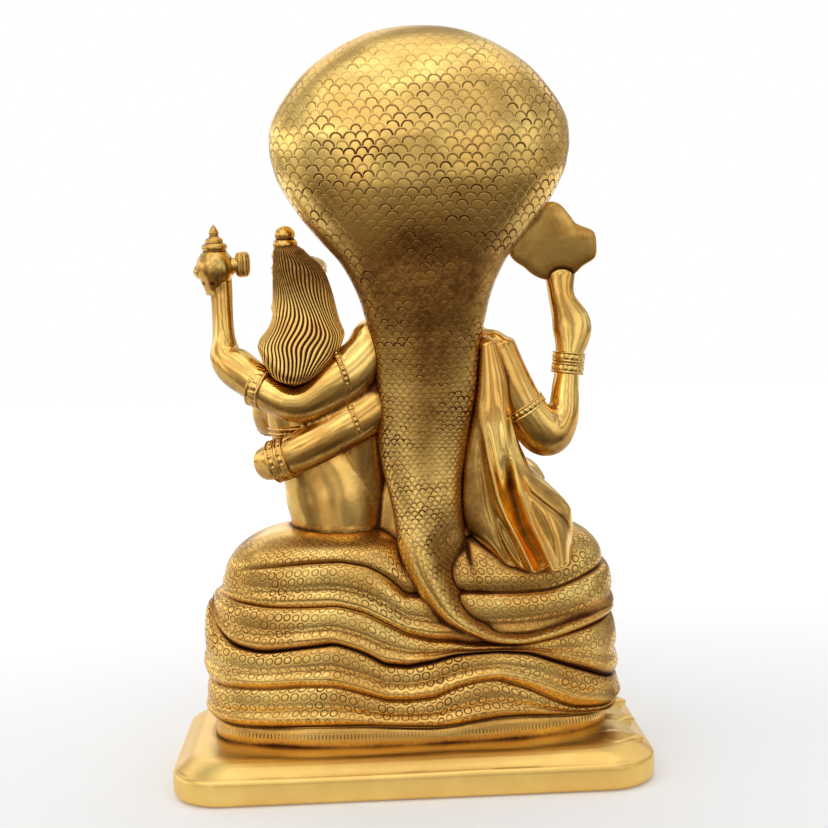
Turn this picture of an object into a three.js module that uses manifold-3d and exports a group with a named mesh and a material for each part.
// A cast brass idol: Narasimha seated on the coiled serpent with Lakshmi on the left thigh, the
// serpent's neck rising behind the seat into one wide hood, all cast in one with a low plinth.
// Millimetres, +Z up. The figures face -Y, so the serpent's back and the hood's back face +Y.
// The origin is the centre of the plinth's underside.
import * as THREE from "three";
import { mergeVertices } from "three/addons/utils/BufferGeometryUtils.js";
import Module from "manifold-3d";

const HEIGHT = 400; // underside of the plinth to the crest of the hood
const PLINTH_WIDTH = 258;
const PLINTH_DEPTH = 132;
const PLINTH_TOP = 18;
const SEAT_TOP = 136; // top of the coils, where the figures sit
const CENTRE_X = -14; // the serpent's neck, the hood and Narasimha share this plane
const BRASS = { color: 0xc9962e, roughness: 0.32, metalness: 1.0 };

const wasm = await Module();
wasm.setup();

function toSolid(geometry) {
  geometry.deleteAttribute("normal");
  geometry.deleteAttribute("uv");
  const merged = mergeVertices(geometry, 1e-3);
  const mesh = new wasm.Mesh({
    numProp: 3,
    vertProperties: Float32Array.from(merged.attributes.position.array),
    triVerts: Uint32Array.from(merged.index.array),
  });
  return new wasm.Manifold(mesh);
}

function toGeometry(solid) {
  const mesh = solid.getMesh();
  const geometry = new THREE.BufferGeometry();
  geometry.setAttribute("position", new THREE.BufferAttribute(mesh.vertProperties, 3));
  geometry.setIndex(new THREE.BufferAttribute(mesh.triVerts, 1));
  geometry.computeVertexNormals();
  return geometry;
}

// A smooth curve through triples of numbers; equal steps of t lie between neighbouring triples.
function through(triples) {
  const points = triples.map((triple) => new THREE.Vector3(...triple));
  return new THREE.CatmullRomCurve3(points, false, "catmullrom", 0.5);
}

// A closed skin: a sphere's rows and columns moved to where place(turn, along) puts them. turn runs
// anticlockwise seen from above, 0 to 1, and along runs from the top pole, 0, to the bottom pole, 1.
function skin(columns, rows, place) {
  const geometry = new THREE.SphereGeometry(1, columns, rows);
  const { position, uv } = geometry.attributes;
  for (let i = 0; i < position.count; i += 1) {
    const along = 1 - uv.getY(i);
    const atPole = along < 1e-6 || along > 1 - 1e-6;
    const turn = atPole ? 0 : uv.getX(i) % 1;
    const [x, y, z] = place(turn, along);
    position.setXYZ(i, x, y, z);
  }
  return geometry;
}

// A limb: a capsule bent along a smooth curve. Each section is a pair of half widths, the first
// across the curve and the second towards `facing`. The ends are rounded by endRound millimetres.
function limb(points, sections, { sides = 8, steps = 8, facing = [0, 1, 0], endRound = 6, caps = 1 } = {}) {
  const length = 10;
  const geometry = new THREE.CapsuleGeometry(1, length, caps, sides, steps);
  const path = through(points);
  const widths = through(sections.map(([across, deep]) => [across, deep, 0]));
  const hint = new THREE.Vector3(...facing);
  const { position } = geometry.attributes;
  for (let i = 0; i < position.count; i += 1) {
    const axial = position.getY(i);
    const clamped = THREE.MathUtils.clamp(axial, -length / 2, length / 2);
    const t = 0.5 - clamped / length;
    const centre = path.getPoint(t);
    const size = widths.getPoint(t);
    const tangent = path.getTangent(t);
    const across = new THREE.Vector3().crossVectors(tangent, hint).normalize();
    const deep = new THREE.Vector3().crossVectors(tangent, across);
    const vertex = centre
      .addScaledVector(tangent, (clamped - axial) * endRound)
      .addScaledVector(across, position.getX(i) * size.x)
      .addScaledVector(deep, position.getZ(i) * size.y);
    position.setXYZ(i, vertex.x, vertex.y, vertex.z);
  }
  return geometry;
}

function ball(centre, radii, { columns = 8, rows = 6, turn = [0, 0, 0] } = {}) {
  const geometry = new THREE.SphereGeometry(1, columns, rows);
  geometry.rotateX(Math.PI / 2);
  geometry.scale(...radii);
  geometry.applyMatrix4(new THREE.Matrix4().makeRotationFromEuler(new THREE.Euler(...turn)));
  geometry.translate(...centre);
  return geometry;
}

// A turned form about an upright axis: the profile holds pairs of radius and height, bottom first.
function turned(profile, centre, { sides = 12, turn = [0, 0, 0] } = {}) {
  const outline = profile.map(([radius, height]) => new THREE.Vector2(radius, height));
  const geometry = new THREE.LatheGeometry(outline, sides);
  geometry.rotateX(Math.PI / 2);
  geometry.applyMatrix4(new THREE.Matrix4().makeRotationFromEuler(new THREE.Euler(...turn)));
  geometry.translate(...centre);
  return geometry;
}

// A band of ornament round a limb, standing on the line `along`.
function band(centre, along, radius, width) {
  const geometry = new THREE.CylinderGeometry(radius, radius, width, 8);
  const direction = new THREE.Vector3(...along).normalize();
  const turn = new THREE.Quaternion().setFromUnitVectors(new THREE.Vector3(0, 1, 0), direction);
  geometry.applyQuaternion(turn);
  geometry.translate(...centre);
  return geometry;
}

// A periodic curve through heights given at stations round the coils, for one turn from +X.
function around(stations, heights) {
  return (angle) => {
    const degrees = THREE.MathUtils.euclideanModulo(THREE.MathUtils.radToDeg(angle), 360);
    const count = stations.length;
    let i = stations.findLastIndex((station) => station <= degrees);
    if (i < 0) i = count - 1;
    const start = stations[i] > degrees ? stations[i] - 360 : stations[i];
    const next = (i + 1) % count;
    const end = next === 0 ? stations[0] + 360 : stations[next];
    const t = (degrees - start) / (end - start);
    const eased = t * t * (3 - 2 * t);
    return THREE.MathUtils.lerp(heights[i], heights[next], eased);
  };
}

// The serpent's body lies in wavy layers on an oval. Each crease between two layers is a height
// round the oval, given at these angles from +X, where 90 is the middle of the back.
const CREASE_ANGLES = [0, 14, 24, 34, 46, 60, 72, 90, 105, 118, 128, 138, 148, 158, 168, 178,
  200, 235, 270, 305, 340];
const CREASES = [
  [35, 33, 33, 33, 34, 33, 33, 32, 31, 32, 33, 36, 35, 33, 31, 32, 36, 36, 35, 36, 38],
  [57, 54, 54, 56, 56, 52, 48, 47, 48, 53, 56, 57, 52, 38, 35, 37, 46, 52, 50, 53, 58],
  [84, 76, 74, 77, 79, 74, 67, 66, 68, 72, 74, 74, 70, 59, 50, 45, 56, 66, 70, 76, 86],
  [101, 99, 98, 98, 99, 95, 89, 82, 79, 78, 78, 77, 76, 76, 78, 81, 88, 88, 90, 94, 99],
  [108, 114, 119, 120, 122, 118, 113, 104, 103, 106, 109, 107, 102, 103, 103, 103, 106, 110, 112, 112, 108],
].map((heights) => around(CREASE_ANGLES, heights));
const COIL_BOTTOM = 14; // inside the plinth
// Half length to +X and to -X, and half depth, at the widest of each layer, bottom layer first.
const LAYERS = [
  [108, 108, 41],
  [112, 114, 45],
  [112, 116, 46],
  [106, 115, 45],
  [101, 113, 43],
  [99, 109, 40],
];
const COIL_SQUARENESS = 2.7; // above 2, the oval's ends are squarer than an ellipse's
const CREASE_DEPTH = 5.5;
const ROWS_A_LAYER = 3;
const TOP_ROUND = 44; // how far the highest layer rounds inwards to the seat

function coilRadius(angle, [left, right, deep]) {
  const long = Math.cos(angle) > 0 ? left : right;
  const n = COIL_SQUARENESS;
  const across = Math.abs(Math.cos(angle) / long) ** n;
  return (across + Math.abs(Math.sin(angle) / deep) ** n) ** (-1 / n);
}

// level counts creases: 0 is the foot of the lowest layer, 6 the top edge of the highest.
function coilPoint(angle, level) {
  const top = LAYERS.length;
  const layer = THREE.MathUtils.clamp(Math.floor(level), 0, top - 1);
  const f = THREE.MathUtils.clamp(level - layer, 0, 1);
  const low = layer === 0 ? COIL_BOTTOM : CREASES[layer - 1](angle);
  const high = layer === top - 1 ? SEAT_TOP : CREASES[layer](angle);
  let radius = coilRadius(angle, LAYERS[layer]);
  let z = THREE.MathUtils.lerp(low, high, f);
  if (layer === top - 1) {
    z = THREE.MathUtils.lerp(low, high, Math.sin((f * Math.PI) / 2));
    radius -= TOP_ROUND * (1 - Math.cos((f * Math.PI) / 2));
    radius -= CREASE_DEPTH * Math.max(0, 1 - f * ROWS_A_LAYER);
  } else if (layer > 0) {
    radius -= CREASE_DEPTH * (1 - Math.sin(f * Math.PI) ** 0.6);
  } else {
    radius -= CREASE_DEPTH * Math.max(0, 1 - (1 - f) * ROWS_A_LAYER);
  }
  const inward = level < 0 ? 1 + level * ROWS_A_LAYER : 1 - (Math.max(level - top, 0) * ROWS_A_LAYER) / 2;
  return [radius * inward * Math.cos(angle), radius * inward * Math.sin(angle), z];
}

function coils() {
  const highest = LAYERS.length + 2 / ROWS_A_LAYER;
  const lowest = -1 / ROWS_A_LAYER;
  return skin(30, (highest - lowest) * ROWS_A_LAYER, (turn, along) => {
    const level = THREE.MathUtils.lerp(highest, lowest, along);
    return coilPoint(turn * 2 * Math.PI, level);
  });
}

// The plinth: a low slab whose back corners are tighter than its front ones.
function plinth() {
  const edge = 2;
  const halfWidth = PLINTH_WIDTH / 2 - edge;
  const halfDepth = PLINTH_DEPTH / 2 - edge;
  const backCorner = 17;
  const frontCorner = 26;
  const taper = 3;
  const outline = new THREE.Shape();
  outline.moveTo(-halfWidth + taper + frontCorner, -halfDepth);
  outline.lineTo(halfWidth - taper - frontCorner, -halfDepth);
  outline.quadraticCurveTo(halfWidth - taper, -halfDepth, halfWidth - taper, -halfDepth + frontCorner);
  outline.lineTo(halfWidth, halfDepth - backCorner);
  outline.quadraticCurveTo(halfWidth, halfDepth, halfWidth - backCorner, halfDepth);
  outline.lineTo(-halfWidth + backCorner, halfDepth);
  outline.quadraticCurveTo(-halfWidth, halfDepth, -halfWidth, halfDepth - backCorner);
  outline.lineTo(-halfWidth + taper, -halfDepth + frontCorner);
  outline.quadraticCurveTo(-halfWidth + taper, -halfDepth, -halfWidth + taper + frontCorner, -halfDepth);
  const geometry = new THREE.ExtrudeGeometry(outline, {
    depth: PLINTH_TOP - 2 * edge,
    bevelEnabled: true,
    bevelThickness: edge,
    bevelSize: edge,
    bevelSegments: 1,
    curveSegments: 4,
  });
  geometry.translate(0, 0, edge);
  return geometry;
}

// Lotus petals lie on the plinth along its front and round its -X end.
function petals() {
  const made = [];
  const frontCount = 7;
  for (let i = 0; i < frontCount; i += 1) {
    const x = THREE.MathUtils.lerp(-98, 98, i / (frontCount - 1));
    made.push(ball([x, -50, PLINTH_TOP], [16, 14, 5], { columns: 8, rows: 4 }));
  }
  for (const y of [-18, 14]) {
    made.push(ball([-114, y, PLINTH_TOP], [13, 15, 5], { columns: 8, rows: 4 }));
  }
  return made;
}

// Half width of the neck and hood at each height, read as one profile from the neck upwards.
const HOOD_PROFILE = [
  [200, 22], [214, 26.5], [226, 28.4], [240, 29.5], [258, 34], [268, 38], [279, 44], [289, 53],
  [301, 63], [311, 69.5],
  [323, 76], [336, 79], [349, 78.5], [358, 74.5], [366, 69], [376, 61], [384, 51], [391, 39], [396, 28],
  [399, 15], [HEIGHT, 0],
];

function profileAt(profile, z) {
  const above = profile.findIndex(([height]) => height > z);
  const i = above < 0 ? profile.length - 1 : Math.max(above, 1);
  const [lowZ, low] = profile[i - 1];
  const [highZ, high] = profile[i];
  return THREE.MathUtils.lerp(low, high, THREE.MathUtils.clamp((z - lowZ) / (highZ - lowZ), 0, 1));
}

// The middle of each level section of the hood, and half its depth.
const HOOD_MIDDLE = [[200, 29], [240, 28], [280, 22], [320, 11], [350, 6], [375, 3], [HEIGHT, 2]];
const HOOD_HALF_DEPTH = [[200, 11], [214, 13.5], [240, 16], [280, 26], [320, 39], [345, 42], [370, 38],
  [386, 29], [395, 17], [HEIGHT, 0]];

function hood() {
  const bottom = 202; // inside the neck
  const crowding = 1.15; // above 1, the rows gather under the crest
  return skin(22, 14, (turn, along) => {
    const angle = turn * 2 * Math.PI;
    const rise = Math.sin((1 - along) * Math.PI * 0.5) ** crowding;
    const z = THREE.MathUtils.lerp(bottom, HEIGHT, rise);
    const end = along > 0.999 ? 0 : 1;
    const across = profileAt(HOOD_PROFILE, z) * end;
    const deep = profileAt(HOOD_HALF_DEPTH, z) * end;
    return [
      CENTRE_X + across * Math.cos(angle),
      profileAt(HOOD_MIDDLE, z) + deep * Math.sin(angle),
      z,
    ];
  });
}

// The hood's hollow front, with the serpent's belly plates as level ribs.
function hoodHollow() {
  const rows = 12;
  const halfWidth = 66;
  const halfDepth = 60;
  const middle = [CENTRE_X, -34, 322];
  return skin(16, rows, (turn, along) => {
    const angle = turn * 2 * Math.PI;
    const row = Math.round(along * rows);
    const rib = row % 2 === 0 ? 1.2 : -0.6;
    const polar = along * Math.PI;
    const size = Math.sin(polar);
    return [
      middle[0] + (halfWidth + rib) * size * Math.cos(angle),
      middle[1] + (halfDepth + rib) * size * Math.sin(angle),
      middle[2] + halfWidth * Math.cos(polar),
    ];
  });
}

// The neck comes down the middle of the back and bends away between two layers of the coils.
function neck() {
  const path = [
    [-14, 29, 250], [-14, 29, 215], [-14.5, 30, 180], [-16, 32, 150], [-18.5, 34, 122],
    [-27, 36, 99], [-41, 37, 83.5], [-58, 36.5, 79], [-74, 33.5, 81], [-88, 28, 84], [-101, 17, 86],
  ];
  const sections = [
    [29, 15], [27.8, 14], [27, 14], [26, 14.5], [23, 15], [15.5, 13],
    [7, 11], [4.8, 11], [5, 10], [5.4, 9], [5, 7],
  ];
  return limb(path, sections, { sides: 12, steps: 18, endRound: 3 });
}

// Five serpent heads look forward from under the rim of the hood.
function serpentHeads() {
  const made = [];
  const spread = [[-58, 337], [-36, 364], [0, 377], [36, 364], [58, 337]];
  for (const [aside, z] of spread) {
    const x = CENTRE_X + aside;
    const path = [[CENTRE_X + aside * 0.9, 4, z - 6], [x, -12, z + 2], [x, -27, z + 1], [x, -40, z - 6]];
    const sections = [[13, 9], [15, 8], [12.5, 9], [7, 5]];
    made.push(limb(path, sections, { sides: 7, steps: 4, facing: [0, 0.2, 1], endRound: 5 }));
  }
  return made;
}

// The lion-headed figure sits with the right foot down on a small lotus and the left leg folded.
function narasimhaBody() {
  const torso = limb(
    [[-17, 0, 122], [-17, 0, 150], [-17, 0, 180], [-17, 2, 212], [-17, 6, 240]],
    [[42, 28], [38, 25], [30, 19], [38, 21], [30, 15]],
    { sides: 10, steps: 6, endRound: 5 },
  );
  const chest = ball([-17, -9, 214], [31, 16, 20], { columns: 8, rows: 5 });
  const rightShoulder = ball([-48, 9, 226], [13, 12, 14], { columns: 7, rows: 5 });
  const leftShoulder = ball([12, 12, 234], [15, 13, 15], { columns: 7, rows: 5 });
  const underArms = ball([20, 14, 209], [13, 10, 11], { columns: 7, rows: 5 });
  const rightLeg = limb(
    [[-30, -4, 143], [-50, -20, 149], [-68, -34, 146], [-66, -46, 118], [-60, -50, 82], [-57, -50, 52]],
    [[22, 20], [18, 17], [14, 14], [12, 13], [9.5, 10], [8, 8]],
    { steps: 8, facing: [1, 0, 0], endRound: 8 },
  );
  const rightFoot = limb([[-57, -46, 42], [-56, -55, 39]], [[8, 6], [8, 4.5]], { sides: 7, steps: 2 });
  const leftThigh = limb([[0, -4, 146], [24, -24, 150], [43, -37, 147]], [[22, 18], [19, 16], [14, 13]],
    { steps: 4, facing: [0, 0, 1], endRound: 9, caps: 2 });
  const leftShin = limb([[43, -40, 146], [22, -48, 143], [2, -49, 141], [-20, -47, 141]],
    [[12, 11], [11, 10], [9, 8], [7, 5]], { steps: 5, facing: [0, 0, 1], endRound: 7 });
  return [torso, chest, rightShoulder, leftShoulder, underArms, rightLeg, rightFoot, leftThigh, leftShin];
}

function lionHead() {
  const x = CENTRE_X - 2;
  const lockCount = 11;
  const maneRadius = 27;
  const mane = skin(2 * lockCount, 5, (turn, along) => {
    const angle = turn * 2 * Math.PI;
    const polar = along * Math.PI;
    const lock = 1 + 0.07 * Math.cos(lockCount * angle) * Math.sin(polar);
    const size = maneRadius * Math.sin(polar) * lock;
    return [x + size * Math.cos(angle), -8 - 14 * Math.cos(polar), 264 + size * Math.sin(angle)];
  });
  const skull = ball([x, -15, 268], [18, 17, 19], { columns: 10, rows: 7 });
  const muzzle = ball([x, -31, 261], [11, 9, 8]);
  const brow = ball([x, -25, 275], [14, 8, 6], { rows: 5 });
  const nose = ball([x, -38, 265], [4.5, 4, 3.5], { columns: 6, rows: 4 });
  const jaw = ball([x, -28, 252], [8, 8, 5], { columns: 7, rows: 5 });
  const ears = [-1, 1].map((side) =>
    ball([x + side * 18, -12, 284], [5, 4, 7], { columns: 7, rows: 4, turn: [0, side * 0.5, 0] }));
  const crown = turned(
    [[0, 280], [18, 280], [20, 285], [15, 290], [16.5, 297], [13.5, 305], [14, 309], [9.5, 322],
      [6.5, 334], [7.5, 338], [0, 347]],
    [x, -10, 0], { sides: 10 },
  );
  return [mane, skull, muzzle, brow, nose, jaw, ...ears, crown];
}

// Two rear arms raise the conch and the disc; the others embrace Lakshmi and give the open palm.
function narasimhaArms() {
  const conchArm = limb(
    [[12, 12, 234], [25, 17, 221], [37, 20, 214], [54, 23, 206], [69, 21, 210.5], [78.5, 16, 218],
      [87, 10, 224], [92.3, 6, 230], [93.2, 4, 238], [93.6, 2, 248], [94, 0, 263], [95, 0, 270]],
    [[13, 13], [14, 13], [13.5, 12], [10.5, 10.5], [9.5, 10], [10.5, 10],
      [11, 10], [9, 9], [6.5, 7], [5.8, 7], [6, 7], [7.5, 7]],
    { steps: 14, endRound: 4 },
  );
  const holdingArm = limb(
    [[6, 14, 207], [22, 20, 196], [38, 23, 188], [54, 22, 180], [66, 18, 175], [74, 12, 174]],
    [[12.5, 12], [12, 11], [11.5, 10.5], [11, 10], [10.5, 9.5], [10, 9]],
    { steps: 6, endRound: 6, caps: 2 },
  );
  const discArm = limb(
    [[-50, 9, 228], [-58, 12, 212], [-67, 12, 194], [-78, 9, 182.5], [-87, 5, 191], [-89.5, 2, 207],
      [-91.5, 0, 221], [-94, -2, 238], [-89, -4, 253], [-88, -5, 266]],
    [[13, 12], [11.5, 11], [12, 11.5], [13, 12], [9.3, 11], [7.3, 9], [6.8, 8], [10.5, 6.5],
      [7.3, 6], [8.5, 5]],
    { steps: 12, endRound: 5 },
  );
  const blessingArm = limb(
    [[-46, 4, 226], [-52, -10, 208], [-56, -24, 190], [-55, -38, 188], [-52, -47, 198], [-50, -50, 208]],
    [[12, 12], [11, 11], [10, 10], [8.5, 9], [7, 7], [7, 6]],
    { sides: 7, steps: 6, endRound: 5 },
  );
  const palm = limb([[-50, -50, 206], [-49.5, -51, 217], [-49, -50, 228]], [[8, 4.5], [8.5, 4.5], [6, 3]],
    { sides: 7, steps: 3, endRound: 3, caps: 2 });
  return [conchArm, holdingArm, discArm, blessingArm, palm];
}

function ornaments() {
  return [
    band([74, 18, 214], [1, -0.4, 0.4], 11.3, 8),
    band([64, 19, 176], [1, -0.35, -0.35], 12, 10),
    band([-91.2, 0.6, 219.5], [-0.1, -0.1, 1], 8.6, 12),
    band([-65, 12, 197], [-0.5, 0, -0.85], 13.2, 5),
  ];
}

function conch() {
  const body = turned(
    [[0, 262], [6.5, 264], [10, 273], [10.3, 278], [7.4, 285], [7, 288], [4.8, 289.5], [4.8, 291.5],
      [2.8, 293], [0, 299.5]],
    [96.4, 0, 0], { sides: 10 },
  );
  const lip = ball([104, 0, 275], [4.5, 5, 5], { columns: 6, rows: 5 });
  const thumb = ball([82, 0, 278], [4, 6, 7], { columns: 8, rows: 5 });
  const bridge = limb([[96, 0, 276], [82, 0, 278]], [[5, 5], [4, 4]], { sides: 6, steps: 1, endRound: 2 });
  return [body, lip, thumb, bridge];
}

// The disc stands on the raised hand, with a flame at the top and on each side. Its reach from the
// middle is given at angles from +X, where 90 is straight up.
const DISC_ANGLES = [0, 14, 25, 40, 60, 80, 99, 120, 141, 155, 166, 183, 200, 208, 217, 232, 270, 320, 342];
const DISC_REACH = around(
  DISC_ANGLES,
  [23.5, 24, 20, 17, 17.5, 22, 22.4, 18.5, 16.6, 19.5, 24.3, 24.6, 25.6, 23, 21, 21, 20, 19, 22.6],
);

function disc() {
  const middle = [-83.5, -5, 283.5];
  const faces = [[0, 4.6], [0.62, 4.1], [0.95, 2.8], [1, 1.8], [1, -1.8], [0.95, -2.8], [0.62, -4.1],
    [0, -4.6]];
  return skin(36, faces.length - 1, (turn, along) => {
    const angle = turn * 2 * Math.PI;
    const [share, forward] = faces[Math.round(along * (faces.length - 1))];
    const reach = DISC_REACH(angle) * share;
    return [middle[0] + reach * Math.cos(angle), middle[1] - forward, middle[2] + reach * Math.sin(angle)];
  });
}

// The shawl falls from the right shoulder in folds that spread over the coils.
function shawl() {
  const top = 238;
  const bottom = 111;
  const folds = 2.5;
  const neckEdge = [[bottom, -44], [128, -44], [152, -40], [194, -34], [top, -34]];
  const farEdge = [[bottom, -84], [115, -87], [136, -88.8], [145.7, -88], [155, -79.5], [167, -67],
    [193, -58], [215, -58], [top, -50]];
  return skin(20, 7, (turn, along) => {
    const angle = turn * 2 * Math.PI;
    const z = THREE.MathUtils.lerp(top, bottom, along);
    const a = profileAt(neckEdge, z);
    const b = profileAt(farEdge, z);
    const end = along > 0.001 && along < 0.999 ? 1 : 0;
    const across = (a + b) / 2 + ((a - b) / 2) * Math.cos(angle) * end;
    const depth = 9 + 7 * along;
    const wave = Math.sin(((across - a) / (b - a)) * folds * 2 * Math.PI);
    const fold = Math.sin(angle) > 0 ? 2.2 * wave * end * along ** 0.4 : 0;
    return [across, 24 + 6 * along + (depth * Math.sin(angle) + fold) * end, z];
  });
}

function lakshmi() {
  const skirt = limb(
    [[34, 0, 128], [35, 0, 148], [40, 0, 164], [52, 2, 186], [54, 1, 205], [53, 0, 224]],
    [[27, 22], [29, 21], [27, 19], [18.5, 15], [19, 14], [13, 11]],
    { sides: 10, steps: 7, endRound: 4 },
  );
  const legs = limb(
    [[40, -6, 146], [44, -26, 152], [45, -42, 143], [44, -48, 118], [43, -50, 92], [43, -52, 76]],
    [[22, 16], [20, 15], [18, 13], [16, 11], [15, 9], [13, 6]],
    { sides: 10, steps: 7, facing: [0, 1, 0.3], endRound: 5 },
  );
  const feet = [-7, 7].map((aside) =>
    limb([[44 + aside, -48, 72], [44 + aside, -58, 68]], [[5, 5], [5, 3.5]],
      { sides: 6, steps: 1, endRound: 4, caps: 2 }));
  const backFolds = limb([[20, 4, 128], [20, 5, 160], [22, 8, 192]], [[16, 13], [15, 12], [14, 11]],
    { steps: 2, endRound: 4 });
  const hair = hairFall();
  const head = ball([52, -7, 261], [13.5, 14, 17.5], { columns: 10, rows: 7 });
  const cap = turned(
    [[0, 276], [8.5, 279], [7, 285], [6.2, 291], [4.6, 295], [0, 298]], [58.6, 2, 0], { sides: 10 });
  const lotusArm = limb(
    [[68, 2, 214], [74, -8, 198], [72, -22, 188], [68, -32, 200], [67, -34, 212]],
    [[8, 8], [7, 7], [6.5, 6.5], [5, 5], [5, 5]],
    { sides: 7, steps: 6, endRound: 4 },
  );
  const lotus = turned([[0, 210], [4, 212], [7, 219], [5, 226], [0, 230]], [67, -35, 0], { sides: 7 });
  const nearArm = limb(
    [[38, 2, 214], [30, -8, 200], [22, -18, 190], [8, -24, 196]],
    [[8, 8], [7, 7], [6, 6], [5, 5]],
    { sides: 7, steps: 5, endRound: 4 },
  );
  return [skirt, legs, ...feet, backFolds, hair, head, cap, lotusArm, lotus, nearArm];
}

// Her hair: combed strands falling from the cap and spreading over her back.
function hairFall() {
  const strands = 12;
  const leftEdge = [[214, 60], [220, 68], [229, 73], [236, 74.9], [244, 69], [250, 66.3], [290, 64.8]];
  const rightEdge = [[214, 54], [220, 43], [230, 33], [241, 29], [248, 31.9], [262, 34.8], [271, 37.4],
    [278, 41], [284, 48], [290, 52.5]];
  const backEdge = [[214, 36], [222, 39], [235, 33], [250, 20], [265, 15], [280, 13], [290, 9]];
  return skin(strands * 2, 7, (turn, along) => {
    const angle = turn * 2 * Math.PI;
    const z = THREE.MathUtils.lerp(290, 214, along);
    const end = along > 0.001 && along < 0.999 ? 1 : 0;
    const left = profileAt(leftEdge, z);
    const right = profileAt(rightEdge, z);
    const back = profileAt(backEdge, z);
    const front = 0;
    const ripple = 1 + 0.05 * Math.cos(strands * angle) * end;
    const half = ((left - right) / 2) * ripple * end;
    const deep = ((back - front) / 2) * ripple * end;
    return [(left + right) / 2 + half * Math.cos(angle), (back + front) / 2 + deep * Math.sin(angle), z];
  });
}

function footLotus() {
  return turned([[0, 16], [15, 17], [13, 24], [9, 27], [13, 33], [14, 36], [0, 37]], [-57, -50.5, 0]);
}

const hoodSolid = toSolid(hood()).subtract(toSolid(hoodHollow()));
const forms = [
  plinth(), ...petals(), coils(), neck(), ...serpentHeads(), ...narasimhaBody(), ...lionHead(),
  ...narasimhaArms(), ...ornaments(), ...conch(), disc(), shawl(), ...lakshmi(), footLotus(),
];
const casting = forms.map(toSolid).reduce((whole, form) => whole.add(form), hoodSolid);

const brass = new THREE.MeshStandardMaterial(BRASS);
const idol = new THREE.Mesh(toGeometry(casting), brass);
idol.name = "narasimha_idol";
const group = new THREE.Group();
group.add(idol);
export default group;
